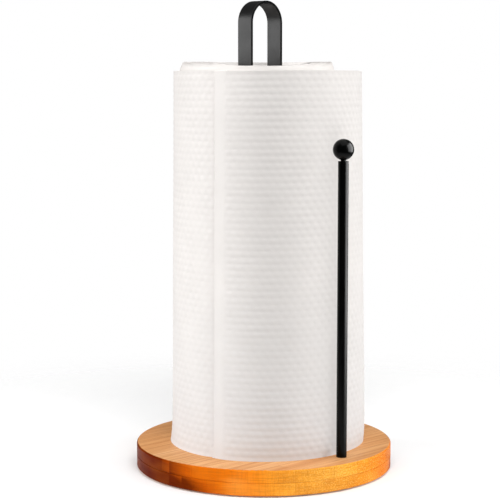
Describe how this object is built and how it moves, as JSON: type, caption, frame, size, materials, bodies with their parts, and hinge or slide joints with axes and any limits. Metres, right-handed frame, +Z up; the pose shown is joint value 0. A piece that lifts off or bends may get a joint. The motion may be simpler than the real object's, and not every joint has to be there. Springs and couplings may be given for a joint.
{
  "type": "paper towel holder",
  "caption": "Free-standing paper towel holder: round bamboo base, flat steel loop as the post, side rod with a ball end, holding a paper roll that spins and lifts off.",
  "frame": {"origin": "centre of the round base, on the surface that the rubber feet stand on", "axes": "+Z up; +X along the loop's width and the bamboo's grain; the side rod stands towards -Y"},
  "size_m": [0.19, 0.19, 0.3445],
  "materials": {
    "bamboo_top": "satin lacquered bamboo, strip grain",
    "bamboo_side": "satin lacquered bamboo, edge of the plies",
    "rubber": "matte",
    "black_steel": "black powder coat, satin",
    "black_ball": "black, glossy",
    "zinc_steel": "zinc plated",
    "cardboard": "grey-brown, spiral wound",
    "wound_paper": null,
    "paper": "white embossed tissue, matte"
  },
  "bodies": {
    "holder": {"base_lower_ply": "bamboo_side", "base_upper_ply": "bamboo_top", "rubber_foot_1": "rubber", "rubber_foot_2": "rubber", "rubber_foot_3": "rubber", "rubber_foot_4": "rubber", "centre_loop": "black_steel", "loop_clamp_plate": "zinc_steel", "loop_screw_left": "zinc_steel", "loop_screw_right": "zinc_steel", "loop_washer_left": "zinc_steel", "loop_washer_right": "zinc_steel", "side_rod": "black_steel", "rod_screw": "zinc_steel", "rod_washer": "zinc_steel", "ball_knob": "black_ball", "ball_stud": "black_steel"},
    "core": {"cardboard_core": "cardboard"},
    "paper": {"inner_windings": "wound_paper", "outer_windings": "wound_paper", "outer_sheet": "paper"}
  },
  "joints": [
    {"name": "roll_lift", "type": "slide", "parent": "holder", "child": "core", "axis": [0, 0, 1], "range_m": [0, 0.34]},
    {"name": "roll_spin", "type": "hinge", "parent": "core", "child": "paper", "pos_m": [0.0036, 0.0004, 0.1595], "axis": [0, 0, 1], "continuous": true}
  ]
}
